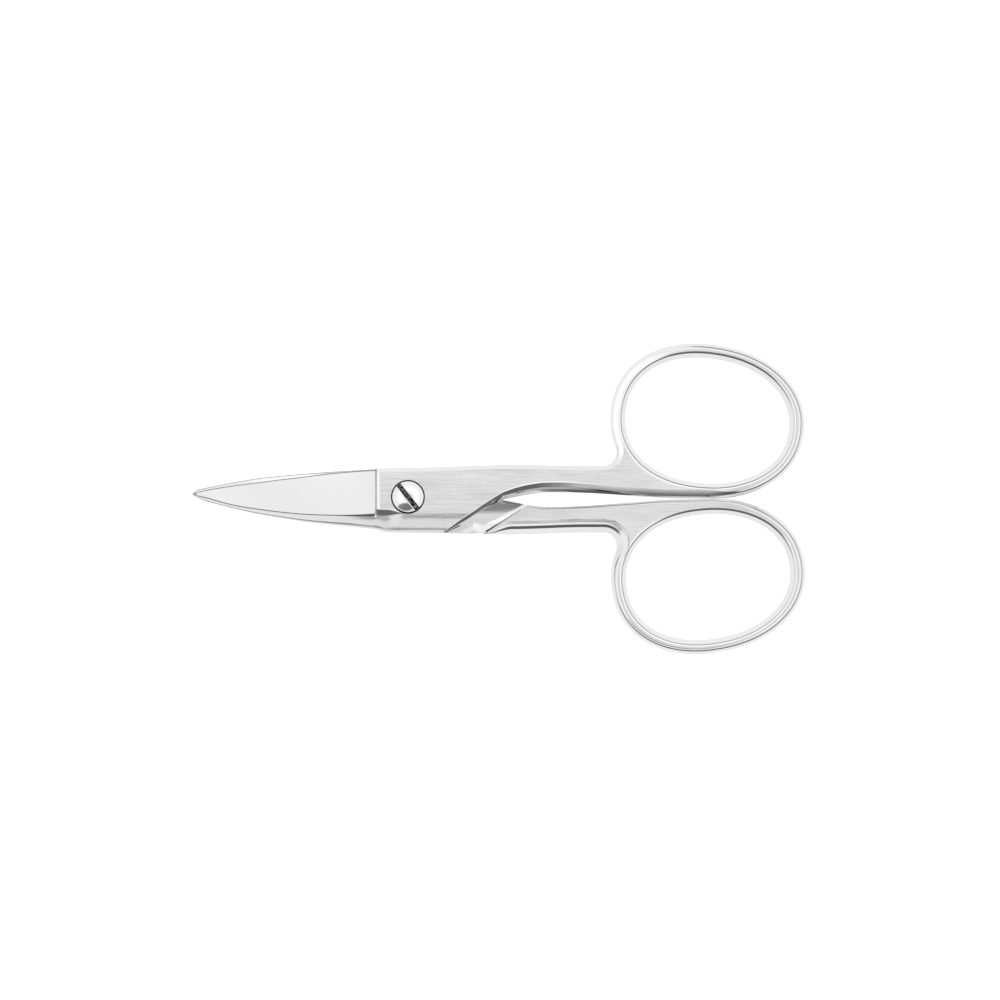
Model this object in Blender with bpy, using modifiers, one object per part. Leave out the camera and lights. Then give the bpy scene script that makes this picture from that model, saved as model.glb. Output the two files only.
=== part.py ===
"""Nail scissors: two forged steel halves that cross and turn on one slotted pivot screw.

Metres, +Z up. The origin is on the pivot axis, in the flat outer face of the rear half,
+X runs towards the finger rings, the blades point along -X and bend up towards +Z, and
the screw's slot faces +Z. Both halves come from one pattern: it is drawn once, seen from
its outer face, and the rear half is the pattern turned over.
"""
import math

import bmesh
import bpy
import numpy as np
from mathutils import Matrix, Vector

MM = 0.001

# The pair
FACE_GAP = 0.04 * MM
PIVOT_OFF_CENTRE = 0.5 * MM
HANDLE_LEAN = math.radians(0.3)

# One half: distances from the pivot along its length, then widths and thicknesses
PIVOT_TO_TIP = 31.5 * MM
PIVOT_TO_SHOULDER = 4.8 * MM
PIVOT_TO_HEEL = 5.3 * MM
PIVOT_TO_RING = 44.0 * MM
HALF_WIDTH = 4.9 * MM
BODY_THICKNESS = 1.9 * MM
EDGE_ROUNDING = 0.45 * MM
ROUNDING_STEPS = 2
CURVED_STEP = 0.9 * MM
STRAIGHT_STEP = 2.7 * MM
WELD = 0.005 * MM
FLAT = 0.9999
SHARP_ANGLE = math.radians(25.0)

# Blade
EDGE_THICKNESS = 0.2 * MM
CREASE_HEIGHT = 1.55 * MM
BEND_START = 7.0 * MM
BEND_RADIUS = 72.0 * MM
BEND_STEP = 1.6 * MM
SHOULDER_LAP = 0.6 * MM

# Finger ring: its hole is an oval a little squarer than an ellipse, and fuller on the left
HOLE_LENGTH = 24.1 * MM
HOLE_WIDTH = 18.3 * MM
STRAND_WIDTH = 2.22 * MM
RING_GAP = 0.05 * MM
RING_LEAN = math.radians(-7.2)
OVAL_POWER = 2.15
OVAL_TAPER_SHARE = 0.035
HOLE_DRAFT = 0.6 * MM
RING_THICKNESS = 3.1 * MM
FILLET_RADIUS = 2.0 * MM
RING_POINTS = 72
RIM_SAMPLES = 720

# Shank: the upper inner wall and the lower outer wall lean, and the heel runs out in a scoop
WALL_LEAN = 1.5 * MM
SCOOP_DISTANCE = 8.3 * MM
SCOOP_LENGTH = 1.0 * MM
SCOOP_ANGLE = math.radians(-26.7)
SCOOP_STEPS = 5

# Pivot screw
SCREW_SHANK_DIAMETER = 2.8 * MM
SCREW_HEAD_DIAMETER = 4.7 * MM
SCREW_HEAD_THICKNESS = 0.9 * MM
SCREW_DOME = 0.3 * MM
DOME_STEPS = 6
SLOT_WIDTH = 0.68 * MM
SLOT_DEPTH = 0.6 * MM
SLOT_ANGLE = math.radians(-52.0)
SHANK_CLEARANCE = 0.05 * MM
HEAD_CLEARANCE = 0.1 * MM
ROUND_SEGMENTS = 48
OVERRUN = 1.0 * MM

# The inner edge from the heel to the ring: shares of PIVOT_TO_RING and of HALF_WIDTH
INNER_EDGE_SHARES = (
    (0.192, -0.63), (0.251, -0.29), (0.308, -0.03), (0.334, 0.04), (0.373, 0.11),
    (0.414, 0.17), (0.454, 0.212), (0.533, 0.214), (0.613, 0.186), (0.692, 0.139),
    (0.773, 0.086), (0.86, 0.035),
)
# The outer edge from the ring's fillet back to the shoulder, in the same shares
OUTER_EDGE_SHARES = ((0.55, 1.0), (0.42, 1.035), (0.33, 1.045), (0.2, 1.015), (0.08, 0.985))
# The lower edge: widths at the shoulder, half-way from it to the pivot, and at the heel
LOWER_EDGE_SHARES = (-0.87, -0.96, -0.985)
SHOULDER_TOP_SHARE = 0.96
# Where the two leaning walls start, are full, start to fade and are gone
UPPER_LEAN_SHARES = (0.12, 0.26, 0.6, 0.8)
LOWER_LEAN_SHARES = (0.2, 0.29, 0.6, 0.68)
# Where the handle starts to thin towards the ring, and where it is thin
THINNING_SHARES = (0.2, 0.68)

# Blades: share of PIVOT_TO_TIP; cutting edge, crease and spine as shares of HALF_WIDTH;
# crease height as a share of CREASE_HEIGHT
FRONT_BLADE_SHARES = (
    (1.0, 0.24, 0.22, 0.205, 0.25),
    (0.975, 0.275, 0.175, 0.11, 0.36),
    (0.933, 0.34, 0.12, -0.005, 0.45),
    (0.821, 0.455, -0.085, -0.205, 0.55),
    (0.709, 0.547, -0.215, -0.378, 0.66),
    (0.597, 0.64, -0.315, -0.51, 0.76),
    (0.485, 0.72, -0.385, -0.63, 0.85),
    (0.373, 0.806, -0.418, -0.718, 0.92),
    (0.262, 0.871, -0.422, -0.792, 0.97),
    (0.152, 0.915, -0.39, -0.865, 1.0),
)
REAR_BLADE_SHARES = (
    (1.0, -0.2, -0.225, -0.24, 0.25),
    (0.975, -0.16, -0.28, -0.35, 0.36),
    (0.933, -0.06, -0.31, -0.414, 0.45),
    (0.821, 0.14, -0.43, -0.553, 0.55),
    (0.709, 0.31, -0.51, -0.675, 0.66),
    (0.597, 0.445, -0.555, -0.75, 0.76),
    (0.485, 0.56, -0.57, -0.814, 0.85),
    (0.373, 0.652, -0.565, -0.867, 0.92),
    (0.262, 0.73, -0.535, -0.904, 0.97),
    (0.152, 0.8, -0.47, -0.943, 1.0),
)
# A blade section, from its cutting edge over the crease to its spine
SPINE_BULGE_SHARE = 0.42
SPINE_HEIGHT_SHARES = (0.8, 0.4)
LAP_WIDTH_SHARE = 0.98

POLISHED_STEEL = ("polished_steel", (0.74, 0.74, 0.75), 0.12)
BRUSHED_STEEL = ("brushed_steel", (0.66, 0.66, 0.67), 0.3)


def clear_scene():
    """Removes every object, so that the script can be run again."""
    for obj in list(bpy.data.objects):
        bpy.data.objects.remove(obj, do_unlink=True)


def new_collection(name):
    collection = bpy.data.collections.new(name)
    bpy.context.scene.collection.children.link(collection)
    return collection


def steel(name, colour, roughness):
    material = bpy.data.materials.new(name)
    material.use_nodes = True
    shader = material.node_tree.nodes["Principled BSDF"]
    shader.inputs["Base Color"].default_value = (*colour, 1.0)
    shader.inputs["Metallic"].default_value = 1.0
    shader.inputs["Roughness"].default_value = roughness
    return material


def add_object(name, mesh, collection):
    obj = bpy.data.objects.new(name, mesh)
    collection.objects.link(obj)
    return obj


def add_cutter(name, mesh, cutters):
    """A cutter is a guide only: it is never rendered and shows as wire."""
    obj = add_object(name, mesh, cutters)
    obj.hide_render = True
    obj.display_type = "WIRE"
    return obj


def evaluated_mesh(obj, weld):
    """The mesh that an object's modifiers or curve settings make, with its seams welded."""
    depsgraph = bpy.context.evaluated_depsgraph_get()
    mesh = bpy.data.meshes.new_from_object(obj.evaluated_get(depsgraph))
    bm = bmesh.new()
    bm.from_mesh(mesh)
    if weld:
        bmesh.ops.remove_doubles(bm, verts=bm.verts, dist=weld)
    bm.to_mesh(mesh)
    bm.free()
    return mesh


def combine(obj, tools, operation):
    """Joins or cuts an object with each tool in turn and keeps the resulting mesh."""
    for tool in tools:
        modifier = obj.modifiers.new(tool.name, "BOOLEAN")
        modifier.operation = operation
        modifier.solver = "EXACT"
        modifier.object = tool
    mesh = evaluated_mesh(obj, 0)
    obj.modifiers.clear()
    obj.data = mesh


def smooth_points(points, step):
    """A Catmull-Rom curve through the points, with a point about every step along it."""
    points = np.array(points, float)
    padded = np.vstack((2 * points[0] - points[1], points, 2 * points[-1] - points[-2]))
    result = []
    for before, start, end, after in zip(padded, padded[1:], padded[2:], padded[3:]):
        count = max(1, math.ceil(np.linalg.norm(end - start) / step))
        t = (np.arange(count) / count)[:, None]
        result.append(0.5 * (2 * start + (end - before) * t
                             + (2 * before - 5 * start + 4 * end - after) * t ** 2
                             + (3 * start - before - 3 * end + after) * t ** 3))
    return np.vstack(result + [points[-1:]])


def oval(angle, margin):
    """The ring's oval, grown outwards by a margin, at angles from its own long axis."""
    across = np.sign(np.cos(angle)) * np.abs(np.cos(angle)) ** (2 / OVAL_POWER)
    up = np.sign(np.sin(angle)) * np.abs(np.sin(angle)) ** (2 / OVAL_POWER)
    x = (HOLE_LENGTH / 2 + margin) * across
    y = (HOLE_WIDTH / 2 + margin) * up * (1 - OVAL_TAPER_SHARE * across)
    turned_x = x * math.cos(RING_LEAN) - y * math.sin(RING_LEAN)
    turned_y = x * math.sin(RING_LEAN) + y * math.cos(RING_LEAN)
    return np.stack((turned_x, turned_y), axis=-1)


def ring_rim():
    """The ring's centre and its outer rim from the lowest point on, anticlockwise. The rim
    is as low as it may go before it meets the other half's ring."""
    rim = oval(np.arange(RIM_SAMPLES) * math.tau / RIM_SAMPLES, STRAND_WIDTH)
    lowest = int(np.argmin(rim[:, 1]))
    centre = np.array((PIVOT_TO_RING, RING_GAP / 2 - rim[lowest, 1]))
    return centre, centre + np.roll(rim, -lowest, axis=0)


def fillet_at_ring(rim, left, right):
    """The round corner between the shank's outer edge and the ring's left side: its circle
    touches both. Returns the rim point it touches and the arc from there to the edge."""
    for _ in range(50):
        spot = np.array(((left + right) / 2, HALF_WIDTH + FILLET_RADIUS))
        distances = np.linalg.norm(rim - spot, axis=1)
        if distances.min() > FILLET_RADIUS:
            left = spot[0]
        else:
            right = spot[0]
    touch = int(np.argmin(distances))
    towards = rim[touch] - spot
    start = math.atan2(towards[1], towards[0])
    count = math.ceil(FILLET_RADIUS * (start + math.pi / 2) / (CURVED_STEP / 2))
    turn = np.linspace(start, -math.pi / 2, count + 1)
    return touch, spot + FILLET_RADIUS * np.column_stack((np.cos(turn), np.sin(turn)))


def pattern_outline():
    """The body, shank and ring as one outline, in the pattern's own frame: y = 0 is the
    line that the closed pair is symmetric about. Anticlockwise from the heel."""
    scale = np.array((PIVOT_TO_RING, HALF_WIDTH))
    centre, rim = ring_rim()
    touch, fillet = fillet_at_ring(rim, centre[0] - HOLE_LENGTH, centre[0])
    shoulder_width, middle_width, heel_width = (s * HALF_WIDTH for s in LOWER_EDGE_SHARES)
    heel = (PIVOT_TO_HEEL, heel_width)
    shoulder_top = (-PIVOT_TO_SHOULDER, SHOULDER_TOP_SHARE * HALF_WIDTH)
    shoulder_bottom = (-PIVOT_TO_SHOULDER, shoulder_width)
    middle = (-PIVOT_TO_SHOULDER / 2, middle_width)
    inner = smooth_points([heel, *(scale * INNER_EDGE_SHARES), rim[0]], CURVED_STEP)
    outer = smooth_points([fillet[-1], *(scale * OUTER_EDGE_SHARES), shoulder_top], STRAIGHT_STEP)
    lower = smooth_points([shoulder_bottom, middle, heel], STRAIGHT_STEP)
    around = rim[:touch:RIM_SAMPLES // RING_POINTS]
    return np.vstack((inner[:-1], around, fillet[:-1], outer, lower[:-1]))


def slab(name, outline, thickness, rounding, parts):
    """A flat outline given a thickness about z = 0, with its edges rounded inwards."""
    curve = bpy.data.curves.new(name, "CURVE")
    curve.dimensions = "2D"
    curve.fill_mode = "BOTH"
    curve.extrude = thickness / 2 - rounding
    curve.bevel_depth = rounding
    curve.bevel_resolution = ROUNDING_STEPS
    curve.offset = -rounding
    spline = curve.splines.new("POLY")
    spline.points.add(len(outline) - 1)
    spline.use_cyclic_u = True
    for point, (x, y) in zip(spline.points, outline):
        point.co = (x, y, 0, 1)
    guide = add_object(name, curve, parts)
    mesh = evaluated_mesh(guide, WELD)
    bpy.data.objects.remove(guide, do_unlink=True)
    return mesh


def ramp(x, start, end):
    """0 before start, 1 after end, and a smooth step between."""
    t = np.clip((x - start) / (end - start), 0, 1)
    return t * t * (3 - 2 * t)


def slice_across(bm, stations):
    """Cuts every face where it crosses a station along x, so that it can follow a curve."""
    for station in stations:
        geometry = bm.verts[:] + bm.edges[:] + bm.faces[:]
        bmesh.ops.bisect_plane(bm, geom=geometry, plane_co=(station, 0, 0), plane_no=(1, 0, 0))


def shape_handle(mesh):
    """Leans the shank's walls and thins the handle towards the ring, point by point."""
    thin_start, thin_end = (share * PIVOT_TO_RING for share in THINNING_SHARES)
    rise, full, fade, gone = (share * PIVOT_TO_RING for share in UPPER_LEAN_SHARES)
    low_rise, low_full, low_fade, low_gone = (share * PIVOT_TO_RING for share in LOWER_LEAN_SHARES)
    bm = bmesh.new()
    bm.from_mesh(mesh)
    flat = [edge for edge in bm.edges if all(abs(face.normal.z) > FLAT for face in edge.link_faces)]
    bmesh.ops.dissolve_edges(bm, edges=flat, use_verts=False)
    slice_across(bm, np.arange(rise, max(gone, thin_end, low_gone), BEND_STEP))
    geometry = bm.verts[:] + bm.edges[:] + bm.faces[:]
    bmesh.ops.bisect_plane(bm, geom=geometry, plane_co=(0, 0, 0), plane_no=(0, 0, 1))
    bmesh.ops.remove_doubles(bm, verts=bm.verts, dist=WELD)
    bm.to_mesh(mesh)
    bm.free()
    points = np.empty(len(mesh.vertices) * 3)
    mesh.vertices.foreach_get("co", points)
    x, y, z = points.reshape(-1, 3).T.copy()
    height = z / BODY_THICKNESS
    inner = np.interp(x, *(np.array(INNER_EDGE_SHARES) * (PIVOT_TO_RING, HALF_WIDTH)).T)
    across = np.clip((y - inner) / (HALF_WIDTH - inner), 0, 1)
    upper = ramp(x, rise, full) * (1 - ramp(x, fade, gone)) * (1 - across)
    lower = ramp(x, low_rise, low_full) * (1 - ramp(x, low_fade, low_gone)) * across
    y += WALL_LEAN * (upper * np.clip(height, 0, 1) - lower * np.clip(-height, 0, 1))
    z *= 1 - (1 - RING_THICKNESS / (2 * BODY_THICKNESS)) * ramp(x, thin_start, thin_end)
    mesh.vertices.foreach_set("co", np.column_stack((x, y, z)).ravel())
    bm = bmesh.new()
    bm.from_mesh(mesh)
    bmesh.ops.triangulate(bm, faces=bm.faces)
    bm.to_mesh(mesh)
    bm.free()


def loft(name, sections, cutters):
    """A closed solid through like sections, each a row of points in the same order."""
    bm = bmesh.new()
    rows = [[bm.verts.new(point) for point in section] for section in sections]
    for row, after in zip(rows, rows[1:]):
        for k in range(len(row)):
            j = (k + 1) % len(row)
            bm.faces.new((row[k], row[j], after[j], after[k]))
    bm.faces.new(rows[0][::-1])
    bm.faces.new(rows[-1])
    bmesh.ops.recalc_face_normals(bm, faces=bm.faces)
    mesh = bpy.data.meshes.new(name)
    bm.to_mesh(mesh)
    bm.free()
    return add_cutter(name, mesh, cutters)


def blade(name, rows, cutters):
    """The blade before it is bent: sections from the tip to inside the body's shoulder."""
    sections = []
    for along, cut, crease, spine, crease_height in rows:
        x = -along * PIVOT_TO_TIP
        cut, crease, spine = (share * HALF_WIDTH for share in (cut, crease, spine))
        top = crease_height * CREASE_HEIGHT
        bulge = crease + (spine - crease) * (1 - SPINE_BULGE_SHARE)
        sections.append([
            (x, cut, -BODY_THICKNESS / 2), (x, cut, EDGE_THICKNESS), (x, crease, top),
            (x, bulge, top * SPINE_HEIGHT_SHARES[0]), (x, spine, top * SPINE_HEIGHT_SHARES[1]),
            (x, spine, -BODY_THICKNESS / 2),
        ])
    lap_x = SHOULDER_LAP - PIVOT_TO_SHOULDER
    sections.append([(lap_x, y * LAP_WIDTH_SHARE, z) for _, y, z in sections[-1]])
    return loft(name, sections, cutters)


def interface_cutter(name, cutters):
    """What is cut from below: flat under the blade and body, then up the scoop's quarter
    ellipse, whose wall runs across the heel at SCOOP_ANGLE."""
    across = Vector((math.cos(SCOOP_ANGLE), math.sin(SCOOP_ANGLE), 0))
    ahead = Vector((-across.y, across.x, 0))
    floor = -BODY_THICKNESS - OVERRUN
    profile = [(-PIVOT_TO_TIP - OVERRUN, floor), (-PIVOT_TO_TIP - OVERRUN, FACE_GAP / 2)]
    for k in range(SCOOP_STEPS + 1):
        turn = math.pi / 2 * k / SCOOP_STEPS
        distance = SCOOP_DISTANCE + SCOOP_LENGTH * math.sin(turn)
        profile.append((distance, FACE_GAP / 2 - BODY_THICKNESS * (1 - math.cos(turn))))
    profile.append((SCOOP_DISTANCE + SCOOP_LENGTH, floor))
    reach = PIVOT_TO_TIP + PIVOT_TO_RING
    sections = []
    for side in (-reach, reach):
        sections.append([across * side + ahead * along + Vector((0, 0, z)) for along, z in profile])
    return loft(name, sections, cutters)


def hole_cutter(name, cutters):
    """The finger hole: smallest at half height and opened by the draft towards each face."""
    turn = np.arange(RING_POINTS) * math.tau / RING_POINTS
    centre = ring_rim()[0]
    face = RING_THICKNESS / 2
    beyond = face + OVERRUN
    sections = []
    for height, draft in ((-beyond, HOLE_DRAFT), (-face, HOLE_DRAFT), (0, 0),
                          (face, HOLE_DRAFT), (beyond, HOLE_DRAFT)):
        sections.append([(x, y, height) for x, y in centre + oval(turn, draft)])
    return loft(name, sections, cutters)


def turned(name, profile, collection):
    """A round solid from a profile of (radius, height) points, top to bottom."""
    mesh = bpy.data.meshes.new(name)
    edges = [(k, k + 1) for k in range(len(profile) - 1)]
    mesh.from_pydata([(radius, 0, height) for radius, height in profile], edges, [])
    obj = add_object(name, mesh, collection)
    screw = obj.modifiers.new("turn", "SCREW")
    screw.steps = ROUND_SEGMENTS
    screw.render_steps = ROUND_SEGMENTS
    screw.use_merge_vertices = True
    screw.merge_threshold = WELD
    obj.data = evaluated_mesh(obj, WELD)
    obj.modifiers.clear()
    return obj


def bend(mesh, upwards):
    """Bends the blade out of its plane: beyond BEND_START from the pivot, a point rises by
    the square of the rest of its distance over twice BEND_RADIUS. The rise depends on the
    distance alone, so the two inner faces slide on each other at every opening."""
    bm = bmesh.new()
    bm.from_mesh(mesh)
    slice_across(bm, -np.arange(PIVOT_TO_SHOULDER + BEND_STEP, PIVOT_TO_TIP, BEND_STEP))
    tip = FRONT_BLADE_SHARES[0][1] * HALF_WIDTH * upwards
    blade_faces = [face for face in bm.faces if face.calc_center_median().x < -PIVOT_TO_SHOULDER]
    edges = {edge for face in blade_faces for edge in face.edges}
    verts = {vert for face in blade_faces for vert in face.verts}
    bmesh.ops.bisect_plane(bm, geom=list(verts) + list(edges) + blade_faces,
                           plane_co=(0, tip, 0), plane_no=(0, 1, 0))
    bmesh.ops.triangulate(bm, faces=bm.faces)
    for vert in bm.verts:
        if vert.co.x < -PIVOT_TO_SHOULDER:
            reach = math.hypot(vert.co.x, vert.co.y - PIVOT_OFF_CENTRE * upwards)
            vert.co.z += upwards * max(0, reach - BEND_START) ** 2 / (2 * BEND_RADIUS)
    bm.to_mesh(mesh)
    bm.free()


def forged_half(name, blade_rows, side, bores, parts, cutters):
    """One half. side is 1 for the front half and -1 for the rear half, which is turned over."""
    mesh = slab(name, pattern_outline(), 2 * BODY_THICKNESS, EDGE_ROUNDING, parts)
    shape_handle(mesh)
    half = add_object(name, mesh, parts)
    combine(half, [blade(name + "_blade", blade_rows, cutters)], "UNION")
    tools = [interface_cutter(name + "_interface", cutters), hole_cutter(name + "_hole", cutters)]
    for bore_name, radius, low, high in bores:
        profile = [(0, high), (radius, high), (radius, low), (0, low)]
        bore = turned(f"{name}_{bore_name}", profile, cutters)
        bore.hide_render = True
        bore.display_type = "WIRE"
        bore.location.y = PIVOT_OFF_CENTRE * side
        tools.append(bore)
    combine(half, tools, "DIFFERENCE")
    bend(half.data, side)
    turn_over = Matrix.Rotation(math.pi, 4, "X") if side < 0 else Matrix.Identity(4)
    centre_line = Matrix.Translation((0, -PIVOT_OFF_CENTRE, BODY_THICKNESS))
    half.data.transform(Matrix.Rotation(HANDLE_LEAN, 4, "Z") @ centre_line @ turn_over)
    half.data.materials.append(steel(*BRUSHED_STEEL))
    half.data.shade_smooth()
    half.data.set_sharp_from_angle(angle=SHARP_ANGLE)
    return half


def pivot_screw(parts, cutters):
    """A slotted screw whose domed head sits in the front half's counterbore and whose end
    is flush with the rear half's outer face."""
    top = 2 * BODY_THICKNESS
    shank_radius = SCREW_SHANK_DIAMETER / 2
    head_radius = SCREW_HEAD_DIAMETER / 2
    profile = []
    dome_radius = (head_radius ** 2 + SCREW_DOME ** 2) / (2 * SCREW_DOME)
    for k in range(DOME_STEPS + 1):
        radius = head_radius * k / DOME_STEPS
        profile.append((radius, top + math.sqrt(dome_radius ** 2 - radius ** 2)
                        - dome_radius + SCREW_DOME))
    underside = top - SCREW_HEAD_THICKNESS + FACE_GAP
    profile += [(head_radius, underside), (shank_radius, underside), (shank_radius, 0), (0, 0)]
    screw = turned("pivot_screw", profile, parts)
    slot_height = SLOT_DEPTH + SCREW_DOME
    bpy.ops.mesh.primitive_cube_add(size=1)
    slot = bpy.context.object
    slot.name = "slot_cutter"
    slot.data.transform(Matrix.Diagonal((SCREW_HEAD_DIAMETER + OVERRUN, SLOT_WIDTH, slot_height, 1)))
    slot.rotation_euler.z = SLOT_ANGLE
    slot.location.z = top + SCREW_DOME - SLOT_DEPTH + slot_height / 2
    for collection in list(slot.users_collection):
        collection.objects.unlink(slot)
    cutters.objects.link(slot)
    slot.hide_render = True
    slot.display_type = "WIRE"
    combine(screw, [slot], "DIFFERENCE")
    screw.data.materials.append(steel(*POLISHED_STEEL))
    screw.data.shade_smooth()
    screw.data.set_sharp_from_angle(angle=SHARP_ANGLE)
    return screw


clear_scene()
parts = new_collection("nail_scissors")
cutters = new_collection("cutters")

shank_bore = SCREW_SHANK_DIAMETER / 2 + SHANK_CLEARANCE
head_bore = SCREW_HEAD_DIAMETER / 2 + HEAD_CLEARANCE
seat = BODY_THICKNESS - SCREW_HEAD_THICKNESS
FRONT_BORES = (
    ("shank_bore", shank_bore, -OVERRUN, BODY_THICKNESS + OVERRUN),
    ("head_bore", head_bore, seat, BODY_THICKNESS + OVERRUN),
)
REAR_BORES = (("shank_bore", shank_bore, -OVERRUN, BODY_THICKNESS + OVERRUN),)

front_half = forged_half("front_half", FRONT_BLADE_SHARES, 1, FRONT_BORES, parts, cutters)
rear_half = forged_half("rear_half", REAR_BLADE_SHARES, -1, REAR_BORES, parts, cutters)
screw = pivot_screw(parts, cutters)
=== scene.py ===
"""Nail scissors seen from above: two forged steel halves and the slotted screw between them."""
import math

import bmesh
import bpy
import numpy as np
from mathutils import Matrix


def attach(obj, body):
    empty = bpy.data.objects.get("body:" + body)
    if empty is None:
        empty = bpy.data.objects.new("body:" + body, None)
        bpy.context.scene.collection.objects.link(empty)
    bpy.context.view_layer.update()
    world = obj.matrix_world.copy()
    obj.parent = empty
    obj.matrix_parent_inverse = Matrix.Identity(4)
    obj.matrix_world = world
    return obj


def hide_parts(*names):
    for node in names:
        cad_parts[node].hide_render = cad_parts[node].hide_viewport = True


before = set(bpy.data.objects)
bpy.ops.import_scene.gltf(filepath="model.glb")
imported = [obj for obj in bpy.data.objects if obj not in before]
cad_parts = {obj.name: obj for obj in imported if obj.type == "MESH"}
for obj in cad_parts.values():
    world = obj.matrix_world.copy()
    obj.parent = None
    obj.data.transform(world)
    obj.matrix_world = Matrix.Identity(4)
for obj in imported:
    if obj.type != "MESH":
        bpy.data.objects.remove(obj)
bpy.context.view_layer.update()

# Camera: straight above the closed scissors, far enough away that walls hardly show.
# One pixel of the photograph is PIXEL wide at the scissors, and the pivot is at PIVOT_PIXEL.
MM = 0.001
PIXEL = 0.14682 * MM
PIVOT_PIXEL = (408.1, 496.9)
IMAGE_SIZE = 1000
LENS = 150.0
SENSOR = 36.0
LOOK_HEIGHT = 2.5 * MM
NEAR_CLIP = 0.01

camera_data = bpy.data.cameras.new("camera")
camera_data.lens = LENS
camera_data.sensor_width = SENSOR
camera_data.clip_start = NEAR_CLIP
camera = bpy.data.objects.new("camera", camera_data)
bpy.context.scene.collection.objects.link(camera)
camera_distance = IMAGE_SIZE * PIXEL * LENS / SENSOR
camera.location = ((IMAGE_SIZE / 2 - PIVOT_PIXEL[0]) * PIXEL,
                   (PIVOT_PIXEL[1] - IMAGE_SIZE / 2) * PIXEL,
                   LOOK_HEIGHT + camera_distance)
bpy.context.scene.camera = camera
bpy.context.scene.view_settings.view_transform = "Standard"


# Studio: a white floor under a bright tent. Seen from the object, the tent is a little grey
# straight overhead, brightest around that, and dark at the horizon. The dark part reaches
# up at the near side, where the tent is open, and a dark spot hangs in front of it.

# TENT_RAMP gives the tent's level at each height of a direction, the sine of its elevation.
# The tent is lit above HORIZON, or above NEAR_HORIZON at the near side, and a direction is
# near by the share of it that points to the near side.
TENT_RAMP = ((0.0, 0.8), (0.25, 0.95), (0.5, 1.05), (0.75, 1.1), (0.9, 1.04), (0.925, 1.08),
             (0.951, 1.27), (0.985, 1.25), (0.996, 0.84))
FAR_DARK = 0.2
SIDE_LIFT = 0.3
NEAR_DARK = 0.13
HORIZON = (0.04, 0.3)
NEAR_SHARE = (0.2, 0.95)
LEAST_REACH = 0.001
NEAR_HORIZON = (0.58, 0.78)
SPOT_CENTRE = (-0.08, -0.305)
SPOT_SIZE = (0.25, 0.12)
SPOT_EDGE = (0.65, 1.35)
SPOT_LEVEL = 0.08
FLOOR_SIZE = 3.0
FLOOR_DROP = 0.05 * MM
FLOOR_COLOUR = 0.6
FLOOR_ROUGHNESS = 0.9
FLOOR_SPECULAR = 0.1
FLOOR_GLOW = 0.75
FLOOR_GLOW_REFLECTED = 0.5


def node(tree, kind, **settings):
    """A new node of that kind, with its settings given by name."""
    new = tree.nodes.new(kind)
    for name, value in settings.items():
        setattr(new, name, value)
    return new


def feed(tree, value, socket):
    """Gives the socket its value, which is a number or the output of a node."""
    if isinstance(value, bpy.types.NodeSocket):
        tree.links.new(value, socket)
    else:
        socket.default_value = value


def arithmetic(tree, operation, first, second=0.0):
    """The output of a Math node whose inputs are sockets or numbers."""
    new = node(tree, "ShaderNodeMath", operation=operation)
    for socket, value in zip(new.inputs, (first, second)):
        feed(tree, value, socket)
    return new.outputs[0]


def sum_of_squares(tree, first, second):
    """The output of first squared plus second squared."""
    return arithmetic(tree, "ADD", arithmetic(tree, "MULTIPLY", first, first),
                      arithmetic(tree, "MULTIPLY", second, second))


def smooth_mask(tree, value, low, high):
    """0 below low, 1 above high, and a smooth step between."""
    new = node(tree, "ShaderNodeMapRange", interpolation_type="SMOOTHSTEP")
    tree.links.new(value, new.inputs["Value"])
    new.inputs["From Min"].default_value = low
    new.inputs["From Max"].default_value = high
    return new.outputs["Result"]


def seen_directly(tree):
    """The outputs of Light Path, and 1 for camera and transmission rays, which show the
    surroundings white. Glossy rays are left to show the tent and the floor's own level."""
    paths = node(tree, "ShaderNodeLightPath").outputs
    direct = arithmetic(tree, "MAXIMUM", paths["Is Camera Ray"], paths["Is Transmission Ray"])
    return paths, direct


world = bpy.data.worlds.new("tent")
bpy.context.scene.world = world
world.use_nodes = True
sky = world.node_tree
sky.nodes.clear()
direction = node(sky, "ShaderNodeSeparateXYZ")
sky.links.new(node(sky, "ShaderNodeTexCoord").outputs["Generated"], direction.inputs[0])
tent = node(sky, "ShaderNodeValToRGB")
stops = tent.color_ramp.elements
for position, level in TENT_RAMP[2:]:
    stops.new(position)
for stop, (position, level) in zip(stops, TENT_RAMP):
    stop.position = position
    stop.color = (level, level, level, 1)
sky.links.new(direction.outputs["Z"], tent.inputs[0])
across_x, across_y, up = (direction.outputs[axis] for axis in "XYZ")
level_reach = arithmetic(sky, "SQRT", sum_of_squares(sky, across_x, across_y))
share = arithmetic(sky, "DIVIDE", across_y, arithmetic(sky, "MAXIMUM", level_reach, LEAST_REACH))
near = smooth_mask(sky, arithmetic(sky, "MULTIPLY", share, -1.0), *NEAR_SHARE)
lit = node(sky, "ShaderNodeMapRange", interpolation_type="SMOOTHSTEP")
sky.links.new(up, lit.inputs["Value"])
for name, far_value, near_value in zip(("From Min", "From Max"), HORIZON, NEAR_HORIZON):
    span = arithmetic(sky, "MULTIPLY", near, near_value - far_value)
    sky.links.new(arithmetic(sky, "ADD", span, far_value), lit.inputs[name])
spot_x, spot_y = (arithmetic(sky, "DIVIDE", arithmetic(sky, "SUBTRACT", value, centre), size)
                  for value, centre, size in zip((across_x, across_y), SPOT_CENTRE, SPOT_SIZE))
outside_spot = smooth_mask(sky, sum_of_squares(sky, spot_x, spot_y), *SPOT_EDGE)
spot_share = arithmetic(sky, "MULTIPLY", outside_spot, 1 - SPOT_LEVEL)
spot_share = arithmetic(sky, "ADD", spot_share, SPOT_LEVEL)
brightness = arithmetic(sky, "MULTIPLY", lit.outputs["Result"], spot_share)
dimmed = node(sky, "ShaderNodeMix", data_type="RGBA")
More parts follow.
